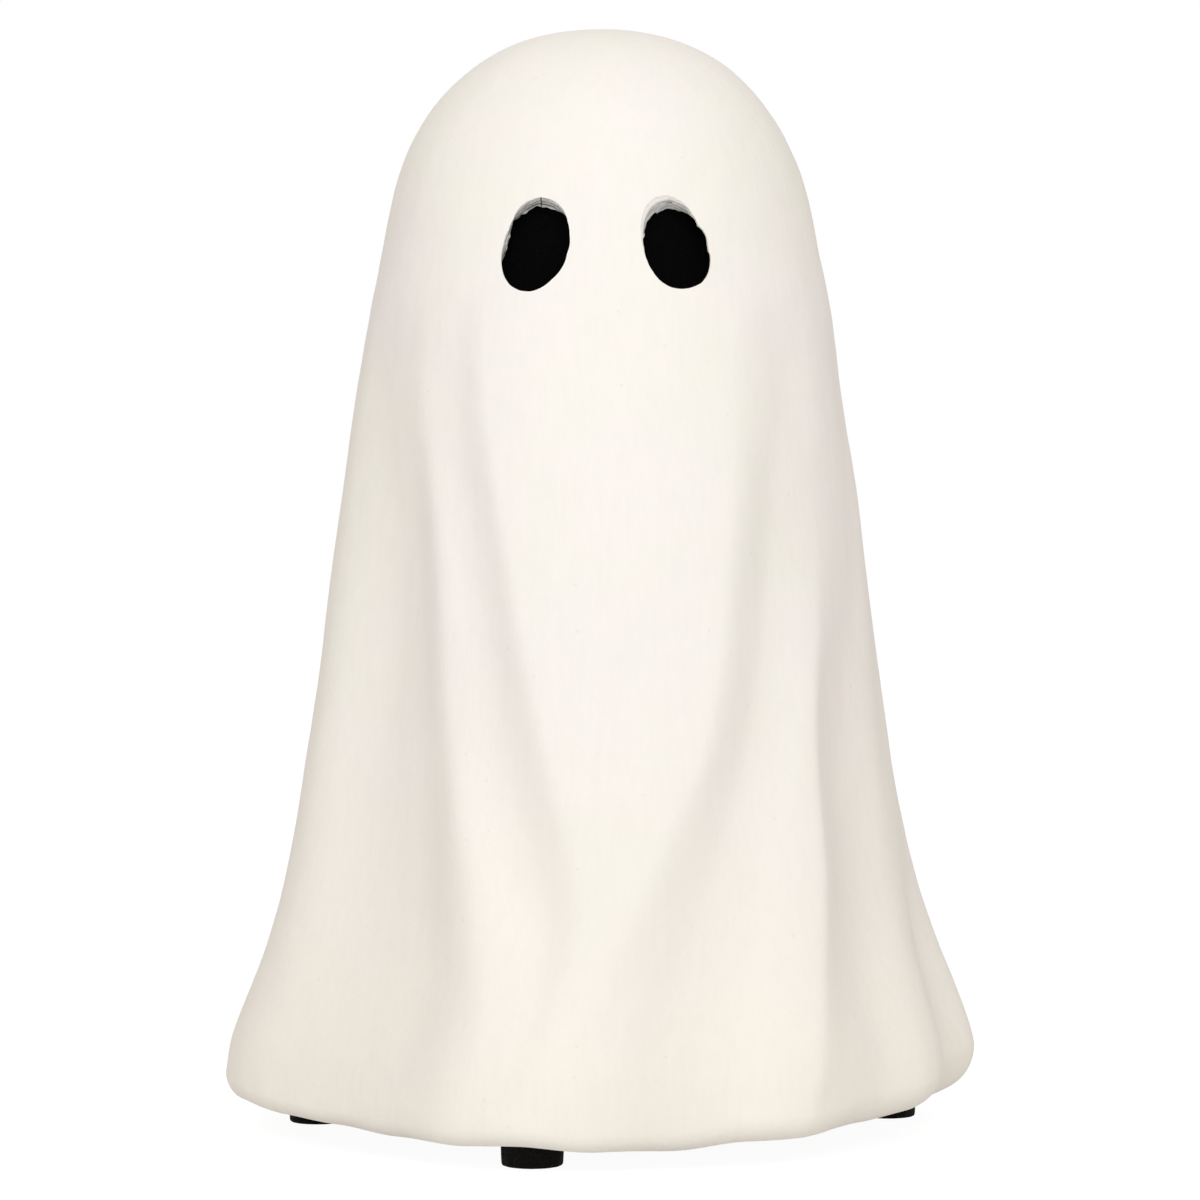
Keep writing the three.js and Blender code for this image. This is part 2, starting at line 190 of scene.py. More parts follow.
@dataclass(frozen=True)
class Drape:
    """Outer face of the paper body, and the faces that follow it inside the wall.

    Attributes:
        height: Height of the crown above the underside of the board.
        wall: Thickness of the laminated paper.
        crown_round: Height over which the crown closes.
        crown_power: Fullness of the crown.
        skirt_levels: Levels at which the radius of the skirt is given.
        skirt_radii: Radius of the skirt at those levels, without its folds.
        fold_levels: Levels at which the folds are given.
        folds_start: Level above which the head is smooth.
        hem_drop: Drop of the hem below the board, at even steps round from the front by the right.
        hem_round: Rounding of the hem, at even steps in the same way.
        passes: Rounds of correction that find the azimuth of a place on the front.
    """

    height: float = 344.5
    wall: float = 6.0
    crown_round: float = 70.0
    crown_power: float = 2.5
    skirt_levels: tuple[float, ...] = (1, 0.82, 0.67, 0.52, 0.35, 0.2, 0.14, 0.1, 0.055, 0.015)
    skirt_radii: tuple[float, ...] = (60.3, 69.9, 79, 86, 93.6, 102.6, 108.2, 113.6, 119.4, 121.6)
    fold_levels: tuple[float, ...] = (0.67, 0.52, 0.35, 0.2, 0.1, 0.015)
    folds_start: float = 0.755
    hem_drop: tuple[float, ...] = (
        4.3, 4.9, 2.5, 2.3, 0.8, -0.1, -2, -1.8, -1.5, -1, -0.5, 0.2, 1, 1.5, 2, 2.2,
        2.5, 2.5, 2.5, 2.2, 2, 2, 2, 1.7, 1.4, 0.6, -0.3, 0.6, 1.5, 3, 3.2, 2.2,
    )
    hem_round: tuple[float, ...] = (6, 8.5, 14, 8, 7, 7, 8.5, 5)
    passes: int = 8

    def relief(self, azimuth: np.ndarray, level: np.ndarray) -> np.ndarray:
        """How far the folds push the wall out, or draw it in.

        Args:
            azimuth: Azimuths in degrees.
            level: Shares of the height, one for each azimuth.

        Returns:
            The relief in millimetres, negative in the valleys.
        """
        stops = np.stack([along_levels(self.fold_levels, fold.azimuths, level) for fold in FOLDS])
        lifts = np.stack([along_levels(self.fold_levels, fold.reliefs, level) for fold in FOLDS])
        stops = np.concatenate([stops, stops[:1] + 360])
        lifts = np.concatenate([lifts, lifts[:1]])
        leans = np.array([fold.lean for fold in FOLDS])
        turned = np.mod(azimuth - stops[0], 360) + stops[0]
        after = np.clip((stops <= turned).sum(axis=0), 1, len(FOLDS))[None]
        start, end = (np.take_along_axis(stops, after - k, axis=0)[0] for k in (1, 0))
        low, high = (np.take_along_axis(lifts, after - k, axis=0)[0] for k in (1, 0))
        share = (turned - start) / (end - start)
        blended = low + (high - low) * ease(share ** leans[after[0] - 1])
        return blended * ease((self.folds_start - level) / (self.folds_start - self.fold_levels[0]))

    def radius(self, azimuth: np.ndarray, height: np.ndarray, offset: float = 0.0) -> np.ndarray:
        """Radius of the body.

        Args:
            azimuth: Azimuths in degrees.
            height: Heights, one for each azimuth.
            offset: How far the face that is read lies inside the outer one.

        Returns:
            The radius at each place.
        """
        level = height / self.height
        skirt = along_levels(self.skirt_levels, self.skirt_radii, level)
        skirt = skirt + self.relief(azimuth, level) - offset
        from_round = np.clip(1 - (self.height - offset - height) / self.crown_round, 0, 1)
        return skirt * (1 - from_round**self.crown_power) ** (1 / self.crown_power)

    def front(self, across: np.ndarray, height: np.ndarray, offset: float = 0.0) -> np.ndarray:
        """The y of the front of the body.

        Args:
            across: Places across the figure.
            height: Heights, one for each place.
            offset: How far the face that is read lies inside the outer one.

        Returns:
            The y at each place.
        """
        radius = self.radius(np.zeros_like(across), height, offset)
        for _ in range(self.passes):
            depth = np.sqrt(np.maximum(radius**2 - across**2, 0))
            radius = self.radius(np.degrees(np.arctan2(across, depth)), height, offset)
        return -np.sqrt(np.maximum(radius**2 - across**2, 0))


@dataclass(frozen=True)
class Base:
    """Base board, its seat in the hem, and what stands under it.

    Attributes:
        radius: Radius of the board.
        thickness: Thickness of the board.
        ledge: Width of the ledge over the board.
        ledge_blend: Height over which the ledge runs into the wall.
        clearance: Gap between the board and its seat.
        pad_diameter: Diameter of a foam pad.
        pad_height: Height of a foam pad.
        disc_diameter: Diameter of an adhesive disc.
        disc_thickness: Thickness of an adhesive disc.
    """

    radius: float = 108.7
    thickness: float = 3.0
    ledge: float = 5.0
    ledge_blend: float = 26.0
    clearance: float = 0.3
    pad_diameter: float = 19.0
    pad_height: float = 10.5
    disc_diameter: float = 18.0
    disc_thickness: float = 0.5

    @property
    def underside(self) -> float:
        """Height of the board's underside above the table."""
        return self.pad_height + self.disc_thickness


@dataclass(frozen=True)
class PadPlace:
    """Where a foam pad stands.

    Attributes:
        side: Side of the ghost.
        azimuth: Azimuth of the pad's middle.
        inset: How far that middle is in from the board's edge.
    """

    side: str
    azimuth: float
    inset: float


PAD_PLACES = (
    PadPlace("front", -12, 10.7),
    PadPlace("right", 95, 13.7),
    PadPlace("back", 180, 13.7),
    PadPlace("left", -87, 16.7),
)


@dataclass(frozen=True)
class EyeCut:
    """Eye hole cut with a knife: its outline in the outer face and in the inner face.

    Attributes:
        side: Side of the face, as seen by someone who faces the ghost.
        across: The x of the middle of the hole in the outer face.
        level: Height of that middle.
        outer: Corners of the cut in the outer face, across and up from the middle.
        inner: Corners of the cut in the inner face, across and up from the same middle.
        patch: Middle of the felt patch behind the hole, across and up from the same middle.
        soft_turn: Direction in which the outer edge is worn most, in degrees from the right upwards.
        soft_width: How much wider it is worn there.
        seed: Seed of the torn layers in the cut.
    """

    side: str
    across: float
    level: float
    outer: Points
    inner: Points
    patch: tuple[float, float]
    soft_turn: float
    soft_width: float
    seed: int


EYE_CUTS = (
    EyeCut(
        side="left",
        across=-20.1,
        level=269,
        outer=(
            (2.0, 14.7), (-2.2, 13.7), (-5.2, 11.1), (-6.6, 8.0), (-8.2, 4.1), (-9.6, 0.2), (-10.4, -2.8),
            (-10.4, -5.7), (-9.6, -9.7), (-7.6, -12.9), (-4.7, -14.6), (-1.2, -15.0), (1.8, -14.0),
            (5.3, -11.3), (8.2, -7.9), (9.9, -3.3), (10.6, 2.6), (10.0, 6.6), (8.6, 10.6), (6.1, 13.2),
        ),
        inner=(
            (0.4, 12.2), (-2.4, 11.0), (-5.0, 9.2), (-6.9, 8.0), (-7.3, 5.6), (-7.8, 3.4), (-8.6, 0.3),
            (-9.3, -2.2), (-10.1, -3.9), (-11.0, -6.3), (-10.2, -10.8), (-8.1, -14.5), (-4.8, -16.8),
            (-1.0, -17.3), (2.4, -16.4), (6.4, -13.7), (9.8, -9.7), (11.8, -4.4), (12.3, 2.0),
            (11.5, 6.2), (9.0, 9.5), (6.5, 11.0), (3.7, 11.9),
        ),
        patch=(2.4, -2.8),
        soft_turn=150,
        soft_width=0.5,
        seed=11,
    ),
    EyeCut(
        side="right",
        across=23.6,
        level=269,
        outer=(
            (-2.1, 14.1), (-6.0, 13.1), (-8.5, 10.6), (-9.7, 7.2), (-10.3, 2.3), (-10.0, -1.6),
            (-9.0, -5.6), (-7.2, -9.0), (-5.0, -11.7), (-1.6, -13.7), (1.4, -14.1), (3.8, -13.8),
            (7.7, -12.0), (9.7, -9.0), (10.4, -5.1), (10.3, -2.8), (9.8, -1.9), (9.6, 0.3),
            (9.0, 2.9), (8.0, 4.6), (6.6, 5.9), (4.9, 9.0), (2.3, 12.1),
        ),
        inner=(
            (-1.7, 11.9), (-4.7, 10.8), (-5.9, 9.8), (-6.4, 10.3), (-7.9, 8.8), (-9.3, 6.4), (-10.0, 3.4),
            (-10.6, -1.6), (-9.8, -6.0), (-8.2, -10.0), (-6.0, -13.5), (-2.0, -16.3), (1.8, -17.0),
            (5.0, -16.4), (9.0, -14.0), (11.3, -10.0), (11.9, -5.2), (11.8, -2.4), (11.4, 0.3),
            (10.8, 2.6), (9.8, 4.5), (8.2, 6.3), (5.6, 9.1), (3.4, 10.3), (1.3, 11.2),
        ),
        patch=(0.7, -2.8),
        soft_turn=130,
        soft_width=1.1,
        seed=23,
    ),
)


# Meshes


def deselect() -> None:
    """Leaves no object selected, in object mode."""
    if bpy.context.object and bpy.context.object.mode != "OBJECT":
        bpy.ops.object.mode_set(mode="OBJECT")
    bpy.ops.object.select_all(action="DESELECT")


def select(piece: bpy.types.Object) -> None:
    """Selects one object alone and makes it active."""
    deselect()
    piece.select_set(True)
    bpy.context.view_layer.objects.active = piece


def name_active(name: str) -> bpy.types.Object:
    """Names the active object and its mesh.

    Args:
        name: The new name.

    Returns:
        The object.
    """
    made = bpy.context.object
    made.name = name
    made.data.name = name
    return made


def read_points(mesh: bpy.types.Mesh) -> np.ndarray:
    """Reads a mesh's vertices.

    Args:
        mesh: The mesh.

    Returns:
        The points in millimetres.
    """
    flat = np.empty(len(mesh.vertices) * 3)
    mesh.vertices.foreach_get("co", flat)
    return flat.reshape(-1, 3) / MM


def write_points(mesh: bpy.types.Mesh, points: np.ndarray) -> None:
    """Moves the mesh's vertices to points in millimetres."""
    mesh.vertices.foreach_set("co", np.ascontiguousarray(points * MM, np.float32).ravel())
    mesh.update()


def write_values(mesh: bpy.types.Mesh, name: str, values: np.ndarray) -> None:
    """Keeps one number for each vertex under a name that materials can read."""
    layer = mesh.attributes.new(name, "FLOAT", "POINT")
    layer.data.foreach_set("value", np.ascontiguousarray(values, np.float32))


def apply_modifier(piece: bpy.types.Object, kind: str, **settings: object) -> None:
    """Adds a modifier and applies it.

    Args:
        piece: The object.
        kind: Type of the modifier.
        **settings: Its properties.
    """
    select(piece)
    modifier = piece.modifiers.new(kind.lower(), kind)
    for key, value in settings.items():
        setattr(modifier, key, value)
    bpy.ops.object.modifier_apply(modifier=modifier.name)


def turned(name: str, chain: Points, steps: int) -> tuple[bpy.types.Object, np.ndarray]:
    """Turns a chain of points round the vertical axis into one closed mesh.

    Args:
        name: Name of the new object.
        chain: Radius and height of each point, from one point on the axis to another.
        steps: Number of steps round the axis.

    Returns:
        The object, and for each vertex the number of its point in the chain.
    """
    deselect()
    bpy.ops.mesh.primitive_plane_add(size=MM)
    piece = name_active(name)
    bpy.ops.object.mode_set(mode="EDIT")
    bpy.ops.mesh.select_all(action="SELECT")
    bpy.ops.mesh.merge(type="CENTER")
    for _ in chain[1:]:
        bpy.ops.mesh.extrude_region_move(TRANSFORM_OT_translate={"value": (0, 0, -MM)})
    bpy.ops.object.mode_set(mode="OBJECT")
    order = np.rint(-read_points(piece.data)[:, 2]).astype(int)
    write_points(piece.data, np.array([(radius, 0, height) for radius, height in chain])[order])
    rings = piece.data.attributes.new("ring", "INT", "POINT")
    rings.data.foreach_set("value", order)
    apply_modifier(
        piece, "SCREW", steps=steps, render_steps=steps, use_merge_vertices=True,
        merge_threshold=TOUCHING, use_normal_calculate=True,
    )
    numbers = np.empty(len(piece.data.vertices), int)
    piece.data.attributes["ring"].data.foreach_get("value", numbers)
    piece.data.attributes.remove(piece.data.attributes["ring"])
    return piece, numbers


def smooth(piece: bpy.types.Object, angle: float) -> None:
    """Shades a piece smooth, except across edges sharper than an angle in degrees."""
    select(piece)
    bpy.ops.object.shade_smooth_by_angle(angle=math.radians(angle))


def azimuths_of(points: np.ndarray) -> np.ndarray:
    """Azimuths of points, in degrees."""
    return np.degrees(np.arctan2(points[..., 0], -points[..., 1]))


def rim_noise(turns: np.ndarray, seed: int, lowest: int, highest: int) -> np.ndarray:
    """Unevenness of about one unit round a closed outline.

    Args:
        turns: Angles round the outline, in radians.
        seed: Seed of the waves.
        lowest: Fewest waves round the outline.
        highest: Most waves round the outline.

    Returns:
        The unevenness at each angle.
    """
    rng = np.random.default_rng(seed)
    counts = np.arange(lowest, highest + 1)
    phases = rng.uniform(0, 2 * math.pi, len(counts))
    weights = rng.normal(size=len(counts))
    waves = weights[:, None] * np.sin(counts[:, None] * turns[None] + phases[:, None])
    return waves.sum(axis=0) / math.sqrt(len(counts) / 2)


def reach_of(corners: Points, turns: np.ndarray) -> np.ndarray:
    """Distance of an outline from its middle.

    Args:
        corners: Corners of the outline, across and up from the middle.
        turns: Angles round the outline, in radians.

    Returns:
        The distance at each angle.
    """
    across, up = np.array(corners).T
    return np.interp(turns, np.arctan2(up, across), np.hypot(across, up), period=2 * math.pi)


# Shaders


class Signal:
    """Output of a shader node, with arithmetic that adds Math nodes."""

    def __init__(self, tree: "Tree", socket: bpy.types.NodeSocket | None) -> None:
        """Wraps an output socket of a tree, or none for a node without outputs."""
        self.tree = tree
        self.socket = socket

    def __add__(self, other: "Signal | float") -> "Signal":
        """Sum."""
        return self.tree.math("ADD", self, other)

    def __radd__(self, other: float) -> "Signal":
        """Sum with a number on the left."""
        return self.tree.math("ADD", other, self)

    def __sub__(self, other: "Signal | float") -> "Signal":
        """Difference."""
        return self.tree.math("SUBTRACT", self, other)

    def __rsub__(self, other: float) -> "Signal":
        """Difference from a number on the left."""
        return self.tree.math("SUBTRACT", other, self)

    def __mul__(self, other: "Signal | float") -> "Signal":
        """Product."""
        return self.tree.math("MULTIPLY", self, other)

    def __rmul__(self, other: float) -> "Signal":
        """Product with a number on the left."""
        return self.tree.math("MULTIPLY", other, self)


class Tree:
    """Node tree of a new material or of a world, with short ways to add nodes."""

    def __init__(self, tree: bpy.types.NodeTree) -> None:
        """Empties a node tree and takes it over."""
        tree.nodes.clear()
        self.tree = tree

    def node(
        self, kind: str, inputs: Inputs | None = None, output: str | int = 0, **settings: object
    ) -> Signal:
        """Adds a node.

        Args:
            kind: Type of the node, without the leading ShaderNode.
            inputs: Values or signals for its inputs, by name or number.
            output: The output that is returned.
            **settings: Properties of the node.

        Returns:
            The chosen output.
        """
        made = self.tree.nodes.new("ShaderNode" + kind)
        for key, value in settings.items():
            setattr(made, key, value)
        for key, value in (inputs or {}).items():
            if isinstance(value, Signal):
                self.tree.links.new(value.socket, made.inputs[key])
            elif isinstance(value, tuple) and made.inputs[key].type == "RGBA":
                made.inputs[key].default_value = (*value, 1)
            else:
                made.inputs[key].default_value = value
        return Signal(self, made.outputs[output]) if made.outputs else Signal(self, None)

    def math(self, operation: str, first: Signal | float, second: Signal | float = 0.0) -> Signal:
        """Adds a Math node."""
        return self.node("Math", {0: first, 1: second}, operation=operation)

    def mix(self, share: Signal | float, first: Signal | Colour, second: Signal | Colour) -> Signal:
        """Mixes two colours: the first at share 0, the second at 1."""
        return self.node("Mix", {0: share, 6: first, 7: second}, output=2, data_type="RGBA")

    def scaled(self, vector: Signal, factors: Colour) -> Signal:
        """Multiplies a vector by one factor for each axis."""
        return self.node("VectorMath", {0: vector, 1: factors}, operation="MULTIPLY")

    def attribute(self, name: str) -> Signal:
        """Number that the mesh keeps for each vertex under a name."""
        return self.node("Attribute", output="Fac", attribute_name=name)

    def cells(self, vector: Signal, per_metre: float, output: str = "Distance") -> Signal:
        """Cells, so many along a metre: how far from the middle of one, or its random colour."""
        return self.node("TexVoronoi", {"Vector": vector, "Scale": per_metre}, output=output)

    def noise(self, vector: Signal, size: float, detail: float = 2.0, roughness: float = 0.5) -> Signal:
        """Noise from 0 to 1 whose features are about this size, in millimetres."""
        inputs = {"Vector": vector, "Scale": 1 / (size * MM), "Detail": detail, "Roughness": roughness}
        return self.node("TexNoise", inputs)

    def remap(
        self, value: Signal, low: float, high: float, to_low: float = 0.0, to_high: float = 1.0
    ) -> Signal:
        """Spreads the stretch from low to high over another range, held at its ends."""
        return self.node("MapRange", {0: value, 1: low, 2: high, 3: to_low, 4: to_high})

    def bump(self, height: Signal, distance: float, strength: float, under: Signal | None = None) -> Signal:
        """Bump normal from a height signal, over another normal if one is given.

        Args:
            height: Height from 0 to 1.
            distance: What 1 stands for, in millimetres.
            strength: Strength of the bump.
            under: Normal that this bump adds to.

        Returns:
            The normal.
        """
        inputs: Inputs = {"Height": height, "Distance": distance * MM, "Strength": strength}
        if under is not None:
            inputs["Normal"] = under
        return self.node("Bump", inputs)


class Surface(Tree):
    """Tree of a new material with one Principled shader."""

    def __init__(self, name: str) -> None:
        """Makes the material and its object coordinates.

        Args:
            name: Name of the material.
        """
        self.material = bpy.data.materials.new(name)
        self.material.use_nodes = True
        super().__init__(self.material.node_tree)
        self.place = self.node("TexCoord", output="Object")

    def along(self, axis: str) -> Signal:
        """One coordinate of the place, in metres."""
        return self.node("SeparateXYZ", {0: self.place}, output=axis)

    def finish(
        self, colour: Signal, roughness: Signal, normal: Signal, specular: float = 0.5, chalk: float = 0.0
    ) -> bpy.types.Material:
        """Adds the shader and returns the material.

        Args:
            colour: Base colour.
            roughness: Roughness.
            normal: Normal with the bumps.
            specular: Specular level, the same all over.
            chalk: Diffuse roughness, the same all over.

        Returns:
            The finished material.
        """
        inputs = {
            "Base Color": colour, "Roughness": roughness, "Normal": normal,
            "Specular IOR Level": specular, "Diffuse Roughness": chalk,
        }
        shader = self.node("BsdfPrincipled", inputs)
        self.node("OutputMaterial", {"Surface": shader})
        return self.material


@dataclass(frozen=True)
class PaintedPaper:
    """Matt off-white paint, brushed over smoothed laminated paper, with painted shade in the fold valleys.

    Attributes:
        paint: Clean paint.
        pink: Paint in the pinker patches.
        straw: Paint in the yellower patches.
        hem_tint: Yellower paint towards the hem.
        dust: Darker colour in the brush marks and the pits, and painted shade in the fold valleys.
        straw_size: Size of the yellower patches, in millimetres.
        pink_size: Size of the pinker patches.
        brush_size: Width of the brush marks.
        brush_run: Share of the height that counts for them, which draws them out downwards.
        fibre_size: Size of the paper's fibres.
        pit_cells: Cells along a metre, of which one in five holds a pit.
        hem_tint_heights: Heights in metres, before their waver, between which that yellower tint fades out.
        hem_tint_waver: How far the yellower patches lower them at most, in metres.
        valley: Relief at which the painted shade in a valley is darkest, in millimetres.
        valley_shade: Share of painted shade there.
    """

    paint: Colour = (0.934, 0.892, 0.848)
    pink: Colour = (0.950, 0.886, 0.852)
    straw: Colour = (0.932, 0.900, 0.824)
    hem_tint: Colour = (0.955, 0.901, 0.812)
    dust: Colour = (0.800, 0.741, 0.678)
    straw_size: float = 55.0
    pink_size: float = 12.0
    brush_size: float = 2.4
    brush_run: float = 0.1
    fibre_size: float = 0.8
    pit_cells: float = 150.0
    hem_tint_heights: tuple[float, float] = (0.03, 0.18)
    hem_tint_waver: float = 0.06
    valley: float = -6.5
    valley_shade: float = 0.42

    def build(self) -> bpy.types.Material:
        """Makes the material.

        Returns:
            The material.
        """
        s = Surface("painted_paper")
        drift = s.noise(s.place, self.straw_size, 2)
        mottle = s.noise(s.place, self.pink_size, 4)
        streak = s.noise(s.scaled(s.place, (1, 1, self.brush_run)), self.brush_size, 3, 0.6)
        fibre = s.noise(s.place, self.fibre_size, 3, 0.65)
        chosen = s.remap(s.node("SeparateColor", {0: s.cells(s.place, self.pit_cells, "Color")}), 0.78, 0.8)
        pit = s.remap(s.cells(s.place, self.pit_cells), 0.05, 0.09, 1, 0) * chosen
        # Painted shade: the paint is darkened in the fold valleys, by their relief.
        valley = s.remap(s.attribute("relief"), self.valley, 0, 1, 0)
        tint = s.mix(s.remap(mottle, 0.4, 0.62), self.paint, self.pink)
        tint = s.mix(s.remap(drift, 0.38, 0.64), tint, self.straw)
        height = s.along("Z") + drift * self.hem_tint_waver
        # Yellower towards the hem.
        tint = s.mix(s.remap(height, *self.hem_tint_heights, 0.9, 0), tint, self.hem_tint)
        soil = s.remap(streak, 0.42, 0.7) * 0.08 + s.remap(fibre, 0.5, 0.75) * 0.06 + pit * 0.25
        # Darker in the brush marks, fibres and pits, with painted shade added in the valleys.
        tint = s.mix(soil + valley * self.valley_shade, tint, self.dust)
        rough = s.remap(streak, 0.3, 0.7, 0.72, 0.9)
        normal = s.bump(mottle, 0.8, 0.5)
        normal = s.bump(streak, 0.2, 0.5, normal)
        normal = s.bump(fibre - pit * 2, 0.08, 0.5, normal)
        return s.finish(tint, rough, normal, specular=0.35, chalk=0.09)


@dataclass(frozen=True)
class CutPaper:
    """Raw edge of many glued paper layers, bare where the knife went through.

    Attributes:
        name: Name of the material.
        layers: Glue lines across the wall.
        lining_start: Share of the wall at which the pale lining starts, well past 1 for none.
        speckles: Strength of the torn dark fibres.
        split: The x of a crack across the layers, in metres, where there is one.
        light: Paper between the glue lines.
        dark: Glue lines and torn fibres.
        seam: Shadow in the crack, and in the seam before the lining.
        lining: Innermost paper.
        paint: Paint that runs over the edge.
        fibre_size: Size of the fibres, in millimetres.
        waver_size: Size of the waver of the lines.
    """

    name: str
    layers: float
    lining_start: float
    speckles: float
    split: float | None = None
    light: Colour = (0.93, 0.915, 0.89)
    dark: Colour = (0.38, 0.37, 0.355)
    seam: Colour = (0.07, 0.068, 0.065)
    lining: Colour = (0.97, 0.955, 0.93)
    paint: Colour = (0.95, 0.91, 0.865)
    fibre_size: float = 0.6
    waver_size: float = 5.0

    def build(self) -> bpy.types.Material:
        """Makes the material.

        Returns:
            The material.
        """
        s = Surface(self.name)
        depth = s.attribute("depth")
        waver = s.noise(s.place, self.waver_size, 3) - 0.5
        fibre = s.noise(s.place, self.fibre_size, 3, 0.7)
        phase = depth * self.layers + waver * 1.5
        line = s.remap(s.math("PINGPONG", phase, 0.5), 0.03, 0.13, 1, 0)
        tone = line * s.remap(waver, -0.1, 0.1, 0.55, 1) + s.remap(fibre, 0.46, 0.58) * self.speckles
        colour = s.mix(tone, self.light, self.dark)
        inner = depth + waver * 0.4
        colour = s.mix(s.remap(inner, self.lining_start, self.lining_start + 0.03), colour, self.lining)
        gap = s.remap(s.math("ABSOLUTE", inner - self.lining_start), 0.035, 0.08, 1, 0)
        shadow = gap * s.remap(fibre, 0.35, 0.5, 0.5, 1)
        if self.split is not None:
            beside = s.math("ABSOLUTE", s.along("X") - self.split + waver * 0.0008)
            shadow = s.math("MAXIMUM", shadow, s.remap(beside, 0.0001, 0.00025, 1, 0))
        colour = s.mix(shadow, colour, self.seam)
        colour = s.mix(s.remap(depth + waver * 0.9, 0.07, 0.11, 0.9, 0), colour, self.paint)
        normal = s.bump(fibre - line - gap, 0.25, 0.7)
        return s.finish(colour, s.remap(fibre, 0.3, 0.7, 0.82, 0.96), normal, specular=0.3)


@dataclass(frozen=True)
class Board:
    """Dense recycled greyboard, or raw paper, with fibres and flecks.

    Attributes:
        name: Name of the material.
        light: Paler pulp.
        dark: Darker pulp.
        fleck: Flecks.
        cloud_size: Size of the broad clouds, in millimetres.
        pulp_size: Width of the pulp's fibres.
        grain_size: Size of the grain.
        fleck_cells: Cells along a metre, each with a fleck in its middle.
    """

    name: str
    light: Colour
    dark: Colour
    fleck: Colour
    cloud_size: float = 22.0
    pulp_size: float = 1.6
    grain_size: float = 0.35
    fleck_cells: float = 420.0

    def build(self) -> bpy.types.Material:
        """Makes the material.

        Returns:
            The material.
        """
        s = Surface(self.name)
        cloud = s.noise(s.place, self.cloud_size, 3)
        pulp = s.noise(s.scaled(s.place, (1, 0.35, 1)), self.pulp_size, 4, 0.65)
        grain = s.noise(s.place, self.grain_size, 2)
        flecks = s.remap(s.cells(s.place, self.fleck_cells), 0.08, 0.16, 1, 0)
        share = s.remap(cloud, 0.35, 0.65) * 0.5 + s.remap(pulp, 0.35, 0.7) * 0.5
        tint = s.mix(flecks * 0.7, s.mix(share, self.light, self.dark), self.fleck)
        normal = s.bump(pulp, 0.12, 0.6)
        normal = s.bump(grain - flecks * 0.5, 0.05, 0.5, normal)
        return s.finish(tint, s.remap(pulp, 0.3, 0.7, 0.86, 0.97), normal, specular=0.25)


@dataclass(frozen=True)
class ShadeFelt:
    """Dense black felt with short matted fibres; its near-black colour is painted shade of the hollow behind
    the eye holes.

    Attributes:
        shade: The felt itself, darker than felt really is: painted shade of the hollow behind the eye hole.
        lint: Single hairs that catch the light.
        mat_size: Size of the matted tufts, in millimetres.
        hair_size: Width of the hairs.
    """

    # Painted shade: the felt is near black so that the eye holes stay as dark as a shaded hollow.
    shade: Colour = (0.0011, 0.0011, 0.0012)
    lint: Colour = (0.0045, 0.0045, 0.0045)
    mat_size: float = 1.2
    hair_size: float = 0.35

    def build(self) -> bpy.types.Material:
        """Makes the material.

        Returns:
            The material.
        """
        s = Surface("black_felt")
        matted = s.noise(s.place, self.mat_size, 4, 0.7)
        hair = s.noise(s.scaled(s.place, (1, 1, 0.3)), self.hair_size, 2)
        tint = s.mix(s.remap(hair, 0.5, 0.8) * 0.5, self.shade, self.lint)
        normal = s.bump(matted, 0.5, 0.7)
        normal = s.bump(hair, 0.15, 0.6, normal)
        return s.finish(tint, s.remap(matted, 0.3, 0.7, 0.9, 1.0), normal, specular=0.04)


@dataclass(frozen=True)
class Foam:
    """Black closed-cell foam, with cut cells on its sides.

    Attributes:
        skin: Foam between the cells.
        cell: Inside of a cut cell, darker: painted shade in the pore.
        dust: Dust in patches.
        pores: Cells along a metre.
        dust_size: Size of the dusty patches, in millimetres.
    """

    skin: Colour = (0.0085, 0.0082, 0.0072)
    cell: Colour = (0.0028, 0.0027, 0.0024)
    dust: Colour = (0.02, 0.019, 0.017)
    pores: float = 1400.0
    dust_size: float = 3.0

    def build(self) -> bpy.types.Material:
        """Makes the material.

        Returns:
            The material.
        """
        s = Surface("black_foam")
        cells = s.cells(s.place, self.pores)
        dusty = s.noise(s.place, self.dust_size, 3)
        # Painted shade: darker inside the cut cells.
        tint = s.mix(s.remap(cells, 0.1, 0.45, 1, 0) * 0.8, self.skin, self.cell)
        tint = s.mix(s.remap(dusty, 0.5, 0.8) * 0.3, tint, self.dust)
        normal = s.bump(cells, 0.35, 0.8)
        return s.finish(tint, s.remap(dusty, 0.3, 0.7, 0.8, 0.95), normal, specular=0.12)


@dataclass(frozen=True)
class TapePaper:
    """Pale double-sided adhesive paper with a fine crepe.

    Attributes:
        paper: The paper.
        glue: Smears of adhesive on it.
        crepe_size: Width of the creases, in millimetres.
        smear_size: Size of the smears.
    """

    paper: Colour = (0.74, 0.71, 0.65)
    glue: Colour = (0.62, 0.56, 0.44)
    crepe_size: float = 0.7
    smear_size: float = 5.0

    def build(self) -> bpy.types.Material:
        """Makes the material.

        Returns:
            The material.
        """
        s = Surface("adhesive_paper")
        crepe = s.noise(s.scaled(s.place, (1, 0.25, 1)), self.crepe_size, 3)
        smear = s.noise(s.place, self.smear_size, 3)
        tint = s.mix(s.remap(smear, 0.4, 0.7) * 0.7, self.paper, self.glue)
        normal = s.bump(crepe, 0.06, 0.5)
        return s.finish(tint, s.remap(crepe, 0.3, 0.7, 0.4, 0.62), normal)


class Finish(Enum):
    """Finishes of the ghost's pieces."""

    PAINT = PaintedPaper()
    CUT_LEFT = CutPaper("cut_paper_left", 2.2, lining_start=0.75, speckles=0.45, split=-0.0182)
    CUT_RIGHT = CutPaper("cut_paper_right", 4.6, lining_start=1.3, speckles=0.12)
    RAW = Board("raw_paper", (0.52, 0.48, 0.42), (0.40, 0.36, 0.30), (0.2, 0.18, 0.15))
    GREYBOARD = Board("greyboard", (0.43, 0.38, 0.315), (0.345, 0.30, 0.245), (0.12, 0.10, 0.08))
    FELT = ShadeFelt()
    FOAM = Foam()
    TAPE = TapePaper()


